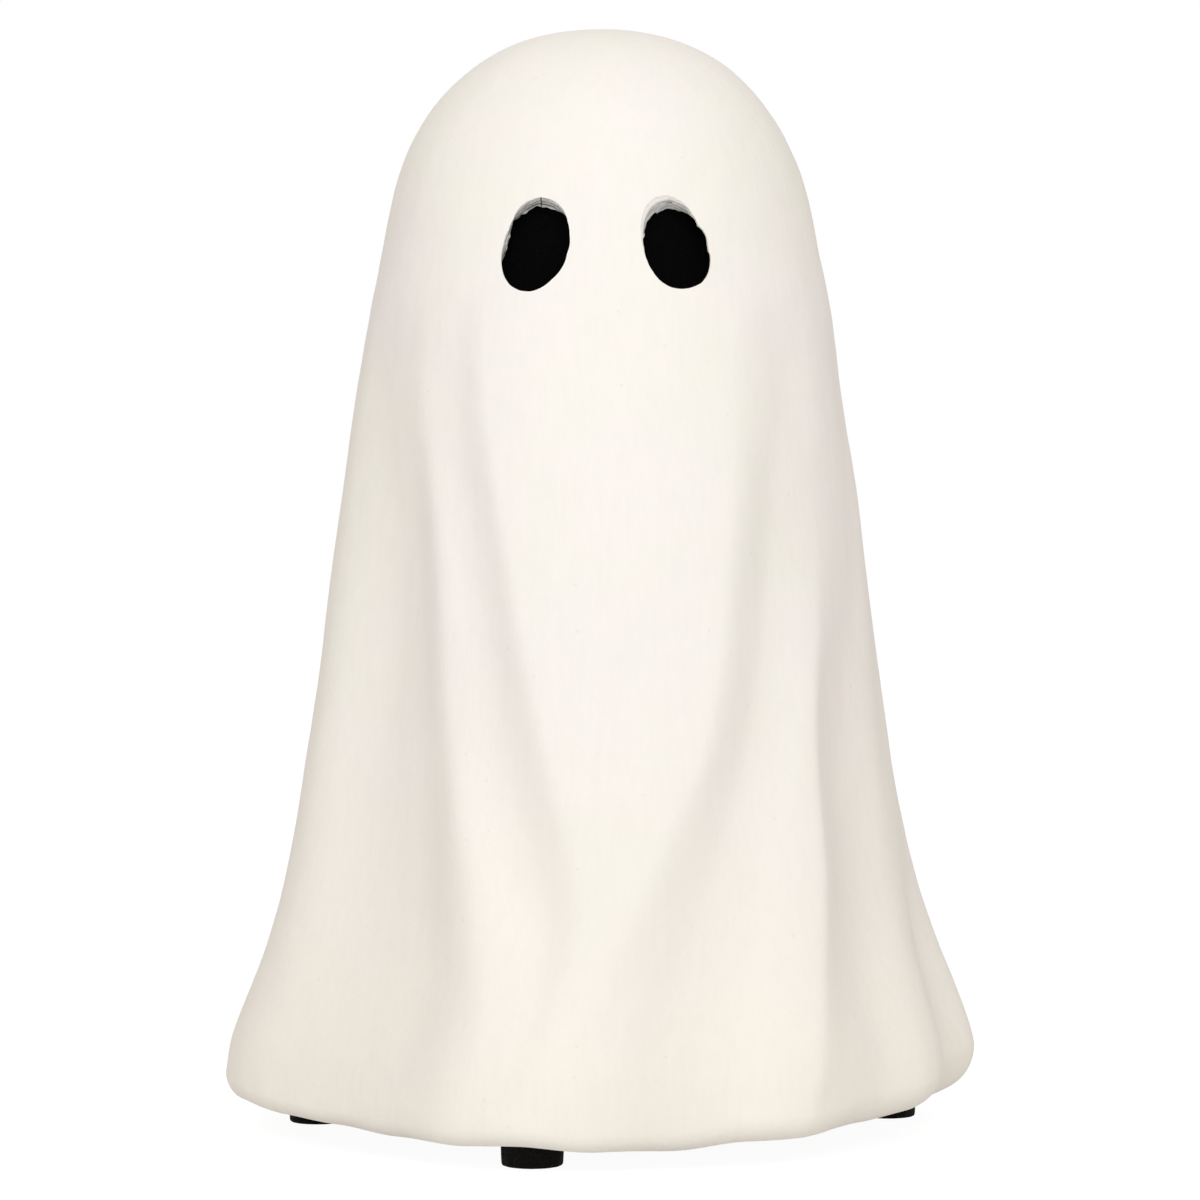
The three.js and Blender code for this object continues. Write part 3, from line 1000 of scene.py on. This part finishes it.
class Finishes:
    """Materials, each made once."""

    def __init__(self) -> None:
        """Starts with none made."""
        self.made: dict[Finish, bpy.types.Material] = {}

    def put(self, piece: bpy.types.Object, *finishes: Finish) -> None:
        """Gives a piece its finishes.

        Args:
            piece: The piece.
            *finishes: One for each of its material slots.
        """
        piece.data.materials.clear()
        for finish in finishes:
            if finish not in self.made:
                self.made[finish] = finish.value.build()
            piece.data.materials.append(self.made[finish])


# Pieces


@dataclass
class EyeCutter:
    """Closed block in the shape of an eye hole, wider at its mouth and stepped by the paper layers.

    Attributes:
        cut: The hole.
        drape: The body that it is cut in.
        points: Points round the hole.
        before: Rings before the outer face: depth as a share of the wall, and how far they stand out.
        behind: Rings from the inner face on, in the same way, but standing out from the last layer.
        mouth: How far the outer edge is worn round, where it is worn least.
        focus: How closely the wear keeps to the hole's soft side.
        bends: Slopes of the worn edge against the outer face, in degrees.
        layers: Thickness of each paper layer, against an even share of the wall that is left.
        groove: Half the gap between two layers, as a share of the wall.
        step: How far the layers stand out from one another.
        step_waves: Fewest and most waves of that round the hole.
        tear: How ragged the innermost layer is.
        tear_waves: Fewest and most waves of that round the hole.
        tear_seed: What the ragged layer adds to the hole's seed.
    """

    cut: EyeCut
    drape: Drape
    points: int = 132
    before: Points = ((-0.7, 0.9), (-0.12, 0.4))
    behind: Points = ((1.0, 0.0), (1.35, 0.4))
    mouth: float = 0.09
    focus: int = 4
    bends: tuple[int, ...] = (15, 30, 45, 60, 75, 90)
    layers: tuple[float, ...] = (0.8, 1.0, 1.2, 0.9, 1.1, 1.0)
    groove: float = 0.015
    step: float = 0.1
    step_waves: tuple[int, int] = (2, 9)
    tear: float = 0.16
    tear_waves: tuple[int, int] = (6, 30)
    tear_seed: int = 50

    def stations(self, turns: np.ndarray) -> list[tuple[np.ndarray, np.ndarray]]:
        """Rings of the block, from before the outer face to behind the inner one.

        Args:
            turns: Angles round the hole, in radians.

        Returns:
            For each ring, how deep it lies as shares of the wall, and how far it stands out.
        """
        facing = np.maximum(np.cos(turns - math.radians(self.cut.soft_turn)), 0)
        lip = self.mouth + self.cut.soft_width * facing**self.focus
        share = lip / self.drape.wall
        level = np.zeros_like(turns)
        rings = [(level + depth, lip + stand) for depth, stand in self.before]
        slopes = [math.radians(bend) for bend in self.bends]
        for slope in slopes:
            drop = math.cos(slopes[0]) - math.cos(slope)
            rings.append((share * drop, lip * (1 - math.sin(slope))))
        start, last = 0.0, len(self.layers) - 1
        for layer, thickness in enumerate(self.layers):
            end = start + (1 - start) * thickness / (last + 1 - layer)
            worn = self.step * rim_noise(turns, self.cut.seed + layer, *self.step_waves)
            if layer == last:
                worn = worn + self.tear * rim_noise(turns, self.cut.seed + self.tear_seed, *self.tear_waves)
            for depth in (start + self.groove, end - self.groove):
                rings.append((share + (1 - share) * depth, worn))
            start = end
        return rings + [(level + depth, rings[-1][1] + stand) for depth, stand in self.behind]

    def face(
        self, corners: Points, turns: np.ndarray, stand: np.ndarray | float = 0.0, offset: float = 0.0
    ) -> np.ndarray:
        """Points round an outline in the outer face, or in a face inside the wall.

        Args:
            corners: Corners of the outline, across and up from the middle of the hole.
            turns: Angles round the outline, in radians.
            stand: How far the points stand out from the outline.
            offset: How far the face lies inside the outer one.

        Returns:
            The points in millimetres.
        """
        reach = reach_of(corners, turns) + stand
        across = self.cut.across + reach * np.cos(turns)
        height = self.cut.level + reach * np.sin(turns)
        return np.stack([across, self.drape.front(across, height, offset), height], axis=-1)

    def build(self) -> bpy.types.Object:
        """Makes the block.

        Returns:
            The block, in place in the body.
        """
        turns = np.arange(self.points) * 2 * math.pi / self.points
        through = self.face(self.cut.inner, turns, offset=self.drape.wall) - self.face(self.cut.outer, turns)
        rings = [
            self.face(self.cut.outer, turns, stand) + through * depth[:, None]
            for depth, stand in self.stations(turns)
        ]
        chain = [(0.0, 1.0)] + [(1.0, 1.0 - k) for k in range(len(rings))] + [(0.0, -len(rings))]
        block, numbers = turned(f"eye_cutter_{self.cut.side}", chain, self.points)
        points = read_points(block.data)
        spokes = np.rint(np.arctan2(points[:, 1], points[:, 0]) / (2 * math.pi) * self.points)
        spokes = spokes.astype(int) % self.points
        front, back = (np.broadcast_to(ring.mean(axis=0), ring.shape) for ring in (rings[0], rings[-1]))
        table = np.stack([front, *rings, back])
        write_points(block.data, table[numbers, spokes])
        return block


@dataclass
class GhostShell:
    """Hollow paper body: smooth head, folded skirt, rolled hem, seat for the board and two eye holes.

    Attributes:
        drape: Faces of the body.
        base: The board that the body holds, and what it stands on.
        finishes: Materials.
        steps: Steps round the body.
        skin_rings: Rings from the crown down to the rounding of the hem.
        round_rings: Rings round the hem.
        inner_rings: Rings of the inner face.
        ring_power: Above 1, the rings lie closer together near the crown.
        lip: Least width of the hem's flat underside.
        flat_rings: Places of the rings across that underside, as shares of its width.
        corner: Rounding between it and the seat.
        corner_rings: How far out and up the rings of that rounding lie, as shares of it.
        crease: How far below the ledge a ring keeps the seat's corner sharp.
        chamfer: Bevel of the ledge's edge.
        rise: Height of the first ring of the inner face over the ledge.
        crown_blend: Radius over which the unevenness turns from upwards to outwards.
        broad: Broad unevenness of the skin.
        fine: Fine unevenness of the skin.
        deepest: Greatest depth that the materials are told, as a share of the wall.
        bare_rings: Last rings of the underside, which are raw paper as the inside is.
        sharp: Angle in degrees past which an edge is shaded sharp.
    """

    drape: Drape
    base: Base
    finishes: Finishes
    steps: int = 320
    skin_rings: int = 186
    round_rings: int = 12
    inner_rings: int = 36
    ring_power: float = 1.6
    lip: float = 2.0
    flat_rings: tuple[float, ...] = (0.35, 0.7, 1.0)
    corner: float = 0.5
    corner_rings: Points = ((0.28, 0.28), (0.0, 1.0))
    crease: float = 0.1
    chamfer: float = 0.3
    rise: float = 1.0
    crown_blend: float = 30.0
    broad: Lumps = Lumps(0.22, 32, 80, seed=3490)
    fine: Lumps = Lumps(0.035, 9, 20, seed=3491)
    deepest: float = 1.2
    bare_rings: int = 2
    sharp: float = 38.0

    def outer_face(self, azimuth: np.ndarray) -> list[np.ndarray]:
        """Rings from the crown down and round the hem.

        Args:
            azimuth: Azimuth of each step round the body.

        Returns:
            The rings, each with its radius and height at each step.
        """
        drop = around_hem(self.drape.hem_drop, azimuth)
        rounding = around_hem(self.drape.hem_round, azimuth)
        hem_top = rounding - drop
        rings = []
        for ring in range(1, self.skin_rings + 1):
            share = (ring / self.skin_rings) ** self.ring_power
            height = self.drape.height - share * (self.drape.height - hem_top)
            rings.append(np.stack([self.drape.radius(azimuth, height), height], axis=-1))
        edge = rings[-1][:, 0]
        inward = np.minimum(rounding, edge - self.base.radius - self.base.clearance - self.lip)
        for step in range(1, self.round_rings + 1):
            turn = step / self.round_rings * math.pi / 2
            radius = edge - inward * (1 - math.cos(turn))
            rings.append(np.stack([radius, hem_top - rounding * math.sin(turn)], axis=-1))
        return [self.uneven(ring, azimuth) for ring in rings]

    def uneven(self, ring: np.ndarray, azimuth: np.ndarray) -> np.ndarray:
        """Adds the hand-made unevenness to a ring of the outer face.

        Args:
            ring: Its radius and height at each step.
            azimuth: Azimuth of each step.

        Returns:
            The uneven ring.
        """
        turn = np.radians(azimuth)
        places = np.stack([ring[:, 0] * np.sin(turn), -ring[:, 0] * np.cos(turn), ring[:, 1]], axis=-1)
        push = self.broad.at(places) + self.fine.at(places)
        out, up = ring[:, 0] / self.crown_blend, (self.crown_blend - ring[:, 0]) / self.crown_blend
        return ring + np.stack([push * ease(out), push * ease(up)], axis=-1)

    def underside(self, azimuth: np.ndarray, edge: np.ndarray) -> list[np.ndarray]:
        """Rings in across the hem, up the seat and in over the ledge.

        Args:
            azimuth: Azimuth of each step round the body.
            edge: The last ring of the outer face.

        Returns:
            The rings, each with its radius and height at each step.
        """
        seat = self.base.radius + self.base.clearance
        ledge = self.base.radius - self.base.ledge
        top = self.base.thickness + self.base.clearance
        flat = -around_hem(self.drape.hem_drop, azimuth)
        rings = []
        for share in self.flat_rings:
            radius = edge[:, 0] + (seat + self.corner - edge[:, 0]) * share
            rings.append(np.stack([radius, edge[:, 1] * (1 - share) + flat * share], axis=-1))
        for out, up in self.corner_rings:
            radius = np.full_like(azimuth, seat + self.corner * out)
            rings.append(np.stack([radius, flat + self.corner * up], axis=-1))
        steps = (
            (seat, top - self.crease), (seat, top),
            (ledge + self.chamfer, top), (ledge, top + self.chamfer),
        )
        return rings + [np.tile(step, (len(azimuth), 1)) for step in steps]

    def inner_face(self, azimuth: np.ndarray) -> list[np.ndarray]:
        """Rings from the ledge up to the crown.

        Args:
            azimuth: Azimuth of each step round the body.

        Returns:
            The rings, each with its radius and height at each step.
        """
        ledge = self.base.radius - self.base.ledge
        foot = self.base.thickness
        start = foot + self.base.clearance + self.rise
        top = self.drape.height - self.drape.wall
        rings = []
        for ring in range(self.inner_rings, 0, -1):
            share = (ring / self.inner_rings) ** self.ring_power
            height = np.full_like(azimuth, top - share * (top - start))
            wall = self.drape.radius(azimuth, height, self.drape.wall)
            free = ease((height - foot) / self.base.ledge_blend)
            rings.append(np.stack([ledge + (wall - ledge) * free, height], axis=-1))
        return rings

    def build(self) -> bpy.types.Object:
        """Makes the shell.

        Returns:
            The shell, in place.
        """
        azimuth = np.arange(self.steps) * 360 / self.steps
        outer = self.outer_face(azimuth)
        under = self.underside(azimuth, outer[-1])
        inner = self.inner_face(azimuth)
        tops = (self.drape.height, self.drape.height - self.drape.wall)
        crown, hollow = (np.tile((0.0, top), (self.steps, 1)) for top in tops)
        table = np.stack([crown, *outer, *under, *inner, hollow])
        shell, numbers = turned("ghost_body", [tuple(ring[0]) for ring in table], self.steps)
        points = read_points(shell.data)
        spokes = np.rint(azimuths_of(points) / 360 * self.steps).astype(int) % self.steps
        radius, height = np.moveaxis(table[numbers, spokes], -1, 0)
        turn = np.radians(azimuth)[spokes]
        write_points(shell.data, np.stack([radius * np.sin(turn), -radius * np.cos(turn), height], axis=-1))
        self.finishes.put(shell, Finish.PAINT, Finish.RAW)
        raw = numbers >= 1 + len(outer) + len(under) - self.bare_rings
        for face in shell.data.polygons:
            face.material_index = int(all(raw[v] for v in face.vertices))
        self.cut_eyes(shell)
        smooth(shell, self.sharp)
        self.measure(shell.data)
        write_points(shell.data, read_points(shell.data) + (0, 0, self.base.underside))
        return shell

    def cut_eyes(self, shell: bpy.types.Object) -> None:
        """Cuts both eye holes.

        Args:
            shell: The shell, before it is lifted onto its base.
        """
        for cut in EYE_CUTS:
            block = EyeCutter(cut, self.drape).build()
            self.finishes.put(block, Finish.CUT_LEFT if cut.side == "left" else Finish.CUT_RIGHT)
            apply_modifier(
                shell, "BOOLEAN", operation="DIFFERENCE", solver="EXACT", material_mode="TRANSFER",
                object=block,
            )
            bpy.data.objects.remove(block)

    def measure(self, mesh: bpy.types.Mesh) -> None:
        """Keeps, for the materials, the relief of the folds and the depth below the outer face.

        Args:
            mesh: The shell's mesh, before it is lifted onto its base.
        """
        points = read_points(mesh)
        azimuth = azimuths_of(points)
        relief = self.drape.relief(azimuth, points[:, 2] / self.drape.height)
        under = self.drape.radius(azimuth, points[:, 2]) - np.hypot(points[:, 0], points[:, 1])
        write_values(mesh, "relief", relief)
        write_values(mesh, "depth", np.clip(under / self.drape.wall, 0, self.deepest))


@dataclass
class EyeBacking:
    """Patch of black felt, cut with scissors and glued over an eye hole from inside; its near-black colour
    is painted shade of the hollow behind the hole.

    Attributes:
        cut: The hole that it covers.
        drape: Faces of the body.
        base: What the body stands on.
        finishes: Materials.
        half_width: Half the width of the patch.
        half_height: Half its height.
        gap: Gap between it and the inner face.
        thickness: Thickness of the felt.
        corners: Corners of its outline.
        rings: Rings of faces inside the outline.
        waver: Unevenness of the cut edge, as a share of the patch.
        waves: Fewest and most waves of that round the patch.
        edge_seed: What the edge adds to the hole's seed.
        bevel: Rounding of the edge.
        sharp: Angle in degrees past which an edge is rounded and shaded sharp.
    """

    cut: EyeCut
    drape: Drape
    base: Base
    finishes: Finishes
    half_width: float = 15.6
    half_height: float = 19.8
    gap: float = 0.35
    thickness: float = 1.9
    corners: int = 72
    rings: int = 9
    waver: float = 0.012
    waves: tuple[int, int] = (3, 14)
    edge_seed: int = 90
    bevel: float = 0.35
    sharp: float = 50.0

    def build(self) -> bpy.types.Object:
        """Makes the patch.

        Returns:
            The patch, in place.
        """
        deselect()
        bpy.ops.mesh.primitive_circle_add(vertices=self.corners, radius=1, fill_type="NGON")
        patch = name_active(f"felt_shade_patch_{self.cut.side}")
        bpy.ops.object.mode_set(mode="EDIT")
        bpy.ops.mesh.select_all(action="SELECT")
        for _ in range(self.rings):
            bpy.ops.mesh.inset(thickness=1 / (self.rings + 1), depth=0)
        bpy.ops.mesh.poke()
        bpy.ops.object.mode_set(mode="OBJECT")
        flat = read_points(patch.data) * MM
        turns = np.arctan2(flat[:, 1], flat[:, 0])
        edge = 1 + self.waver * rim_noise(turns, self.cut.seed + self.edge_seed, *self.waves)
        across = self.cut.across + self.cut.patch[0] + flat[:, 0] * edge * self.half_width
        height = self.cut.level + self.cut.patch[1] + flat[:, 1] * edge * self.half_height
        y = self.drape.front(across, height, self.drape.wall + self.gap)
        write_points(patch.data, np.stack([across, y, height], axis=-1))
        apply_modifier(patch, "SOLIDIFY", thickness=self.thickness * MM, offset=-1, use_even_offset=True)
        apply_modifier(
            patch, "BEVEL", width=self.bevel * MM, segments=2, limit_method="ANGLE",
            angle_limit=math.radians(self.sharp),
        )
        write_points(patch.data, read_points(patch.data) + (0, 0, self.base.underside))
        # The felt's near-black colour is painted shade behind the eye hole.
        self.finishes.put(patch, Finish.FELT)
        smooth(patch, self.sharp)
        return patch


@dataclass
class BaseBoard:
    """Greyboard disc that closes the body, cut by hand, with softened edges.

    Attributes:
        base: Sizes of the board.
        finishes: Materials.
        steps: Steps round the board.
        edge: Rounding of its edges.
        edge_turns: Places of the rings on that rounding, in radians.
        inner_rings: Places of the rings on its faces, as shares of its radius.
        waver: Unevenness of its rim.
        waves: Fewest and most waves of that round the rim.
        seed: Seed of that.
        sharp: Angle in degrees past which an edge is shaded sharp.
    """

    base: Base
    finishes: Finishes
    steps: int = 160
    edge: float = 0.5
    edge_turns: tuple[float, ...] = (0.0, 0.4, 0.8, 1.2, math.pi / 2)
    inner_rings: tuple[float, ...] = (0.0, 0.4, 0.8)
    waver: float = 0.12
    waves: tuple[int, int] = (3, 24)
    seed: int = 71
    sharp: float = 40.0

    def build(self) -> bpy.types.Object:
        """Makes the board.

        Returns:
            The board, in place.
        """
        rim, top, soft = self.base.radius - 2 * self.waver, self.base.thickness, self.edge
        below = [(rim * share, 0.0) for share in self.inner_rings]
        below += [(rim - soft * (1 - math.sin(a)), soft * (1 - math.cos(a))) for a in self.edge_turns]
        above = [(radius, top - height) for radius, height in below]
        board, _ = turned("base_board_disc", [*above, *reversed(below)], self.steps)
        points = read_points(board.data)
        turns = np.radians(azimuths_of(points))
        reach = 1 + self.waver * rim_noise(turns, self.seed, *self.waves) / self.base.radius
        points[:, :2] *= reach[:, None]
        points[:, 2] += self.base.underside
        write_points(board.data, points)
        self.finishes.put(board, Finish.GREYBOARD)
        smooth(board, self.sharp)
        return board


@dataclass
class FoamFoot:
    """Foam pad that is pressed a little by the ghost's weight, and the adhesive disc on top of it.

    Attributes:
        place: Where the pad stands.
        base: Sizes of the pad and the disc.
        finishes: Materials.
        steps: Steps round the pad.
        edge: Rounding of the pad's edges.
        bulge: How far the pad's side swells.
        disc_edge: Rounding of the disc's edges.
        disc_bulge: How far the disc's side swells.
        inner_rings: Places of the rings on a face, as shares of its radius.
        edge_steps: Steps of a rounding.
        side_steps: Steps down a side, between its roundings.
        waver: Unevenness of a rim, as a share of its radius.
        waves: Fewest and most waves of that round the rim.
        gap: How far the pad and the disc each stay clear of what they touch.
        sharp: Angle in degrees past which an edge is shaded sharp.
    """

    place: PadPlace
    base: Base
    finishes: Finishes
    steps: int = 96
    edge: float = 0.7
    bulge: float = 0.18
    disc_edge: float = 0.06
    disc_bulge: float = 0.02
    inner_rings: tuple[float, ...] = (0.0, 0.25, 0.5, 0.75, 0.9)
    edge_steps: int = 5
    side_steps: int = 9
    waver: float = 0.004
    waves: tuple[int, int] = (2, 20)
    gap: float = 0.01
    sharp: float = 45.0

    def middle(self) -> tuple[float, float]:
        """The x and y of the pad's middle."""
        reach, turn = self.base.radius - self.place.inset, math.radians(self.place.azimuth)
        return reach * math.sin(turn), -reach * math.cos(turn)

    def puck(
        self, name: str, diameter: float, low: float, high: float, soft: float, bulge: float
    ) -> bpy.types.Object:
        """Makes a round pad with soft edges.

        Args:
            name: Name of the new object.
            diameter: Its diameter, with the bulge.
            low: Height of its underside above the table.
            high: Height of its top above the table.
            soft: Rounding of its edges.
            bulge: How far its side swells.

        Returns:
            The pad, in place.
        """
        rim = diameter / 2 - bulge
        turns = [k * math.pi / (2 * self.edge_steps) for k in range(self.edge_steps + 1)]
        top = [(rim * share, high) for share in self.inner_rings]
        top += [(rim - soft * (1 - math.sin(a)), high - soft * (1 - math.cos(a))) for a in turns]
        foot = [(radius, low + high - height) for radius, height in reversed(top)]
        side = []
        for k in range(1, self.side_steps):
            share = k / self.side_steps
            height = (high - soft) + (low + soft - (high - soft)) * share
            side.append((rim + bulge * math.sin(math.pi * share), height))
        pad, _ = turned(name, [*top, *side, *foot], self.steps)
        points = read_points(pad.data)
        spin = np.arctan2(points[:, 1], points[:, 0])
        seed = len(name) + int(abs(self.place.azimuth))
        reach = 1 + self.waver * rim_noise(spin, seed, *self.waves)
        points[:, :2] = points[:, :2] * reach[:, None] + self.middle()
        write_points(pad.data, points)
        return pad

    def build(self) -> tuple[bpy.types.Object, bpy.types.Object]:
        """Makes the foam pad and its disc.

        Returns:
            The two, in place.
        """
        base, side, low = self.base, self.place.side, self.base.pad_height + self.gap
        foam = self.puck(
            f"foam_pad_{side}", base.pad_diameter, 0.0, base.pad_height - self.gap, self.edge, self.bulge
        )
        disc = self.puck(
            f"tape_disc_{side}", base.disc_diameter, low, base.underside - self.gap,
            self.disc_edge, self.disc_bulge,
        )
        self.finishes.put(foam, Finish.FOAM)
        self.finishes.put(disc, Finish.TAPE)
        for pad in (foam, disc):
            smooth(pad, self.sharp)
        return foam, disc


# Studio


@dataclass
class Studio:
    """Pale floor and backdrop, and soft light from the front and from all round.

    Attributes:
        sky: Strength of the even light from all round.
        sky_tint: Colour of that light.
        power: Power of the key lamp in watts.
        lamp_tint: Colour of the key lamp.
        lamp_size: Width and height of the key lamp in metres.
        lamp_place: Where the key lamp is.
        lamp_target: What the key lamp looks at.
        floor_size: Side of the floor in metres.
        floor_colour: Colour of the floor.
        white_share: Share of the plain white that the camera sees on the floor.
        white: Strength of that white.
    """

    sky: float = 0.545
    sky_tint: Colour = (1.0, 0.925, 0.88)
    power: float = 15.9
    lamp_tint: Colour = (0.89, 0.968, 1.0)
    lamp_size: tuple[float, float] = (1.9, 0.8)
    lamp_place: tuple[float, float, float] = (0.02, -1.42, 1.12)
    lamp_target: tuple[float, float, float] = (0.0, 0.0, 0.2)
    floor_size: float = 30.0
    floor_colour: Colour = (0.92, 0.92, 0.92)
    white_share: float = 0.85
    white: float = 1.12

    def seen(self, tree: Tree) -> Signal:
        """What the camera, a reflection or clear material sees.

        Args:
            tree: The tree that asks.

        Returns:
            One where one of them sees it, else nothing.
        """
        kinds = ("Camera", "Glossy", "Transmission")
        rays = [tree.node("LightPath", output=f"Is {kind} Ray") for kind in kinds]
        return tree.math("MINIMUM", rays[0] + rays[1] + rays[2], 1.0)

    def floor(self) -> None:
        """Makes the floor, which keeps a faint shadow under the object."""
        deselect()
        bpy.ops.mesh.primitive_plane_add(size=self.floor_size)
        plane = name_active("studio_floor")
        material = bpy.data.materials.new("studio_floor")
        material.use_nodes = True
        tree = Tree(material.node_tree)
        plain = tree.node("BsdfDiffuse", {"Color": self.floor_colour})
        white = tree.node("Emission", {"Color": WHITE, "Strength": self.white})
        share = self.seen(tree) * self.white_share
        tree.node("OutputMaterial", {"Surface": tree.node("MixShader", {0: share, 1: plain, 2: white})})
        plane.data.materials.append(material)

    def world(self) -> None:
        """Makes the even light from all round, and its white backdrop."""
        world = bpy.data.worlds.new("studio")
        world.use_nodes = True
        bpy.context.scene.world = world
        tree = Tree(world.node_tree)
        light = tree.node("Background", {"Color": self.sky_tint, "Strength": self.sky})
        backdrop = tree.node("Background", {"Color": WHITE, "Strength": 1.0})
        mixed = tree.node("MixShader", {0: self.seen(tree), 1: light, 2: backdrop})
        tree.node("OutputWorld", {"Surface": mixed})

    def key(self) -> None:
        """Makes the key lamp."""
        deselect()
        bpy.ops.object.light_add(type="AREA", location=self.lamp_place)
        lamp = bpy.context.object
        lamp.name = "key_lamp"
        lamp.data.shape = "RECTANGLE"
        lamp.data.size, lamp.data.size_y = self.lamp_size
        lamp.data.energy = self.power
        lamp.data.color = self.lamp_tint
        aim = Vector(self.lamp_target) - Vector(self.lamp_place)
        lamp.rotation_euler = aim.to_track_quat("-Z", "Y").to_euler()

    def build(self) -> None:
        """Makes the floor, the world and the lamp."""
        self.floor()
        self.world()
        self.key()
        bpy.context.scene.view_settings.view_transform = "Standard"


@dataclass
class Viewpoint:
    """Level camera before the middle of the figure.

    Attributes:
        distance: Distance from the figure's axis in metres.
        height: Height above the table in metres.
        focal_pixels: Focal length in pixels of the photograph.
        frame_pixels: Width of the photograph in pixels.
        sensor: Width of the sensor in millimetres.
    """

    distance: float = 1.176
    height: float = 0.17
    focal_pixels: float = 3587
    frame_pixels: float = 1200
    sensor: float = 36

    def build(self) -> None:
        """Makes the camera."""
        deselect()
        bpy.ops.object.camera_add(location=(0, -self.distance, self.height), rotation=(math.pi / 2, 0, 0))
        camera = bpy.context.object
        camera.name = "camera"
        camera.data.sensor_width = self.sensor
        camera.data.lens = self.sensor * self.focal_pixels / self.frame_pixels
        bpy.context.scene.camera = camera


@dataclass
class Ghost:
    """The whole figure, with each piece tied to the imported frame.

    Attributes:
        drape: Faces of the body.
        base: The board, and what it stands on.
        finishes: Materials.
    """

    drape: Drape = field(default_factory=Drape)
    base: Base = field(default_factory=Base)
    finishes: Finishes = field(default_factory=Finishes)

    def tie(self, piece: bpy.types.Object, node: str) -> None:
        """Puts a piece in the place of its CAD node, and reports it.

        Args:
            piece: The piece, which rides on the one body.
            node: The CAD node that it replaces.
        """
        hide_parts(node)
        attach(piece, "root")
        LOG.info("%s replaces %s: %d faces", piece.name, node, len(piece.data.polygons))

    def build(self) -> None:
        """Makes every piece."""
        shell = GhostShell(self.drape, self.base, self.finishes).build()
        self.tie(shell, "ghost_shell")
        for cut in EYE_CUTS:
            patch = EyeBacking(cut, self.drape, self.base, self.finishes).build()
            self.tie(patch, f"eye_backing_{cut.side}")
        self.tie(BaseBoard(self.base, self.finishes).build(), "base_board")
        for place in PAD_PLACES:
            foam, disc = FoamFoot(place, self.base, self.finishes).build()
            self.tie(foam, f"foot_{place.side}")
            self.tie(disc, f"foot_tape_{place.side}")


def main() -> None:
    """Makes the camera, the studio and the ghost."""
    logging.basicConfig(level=logging.INFO, format="%(message)s")
    Viewpoint().build()
    Studio().build()
    Ghost().build()


if __name__ == "__main__":
    main()
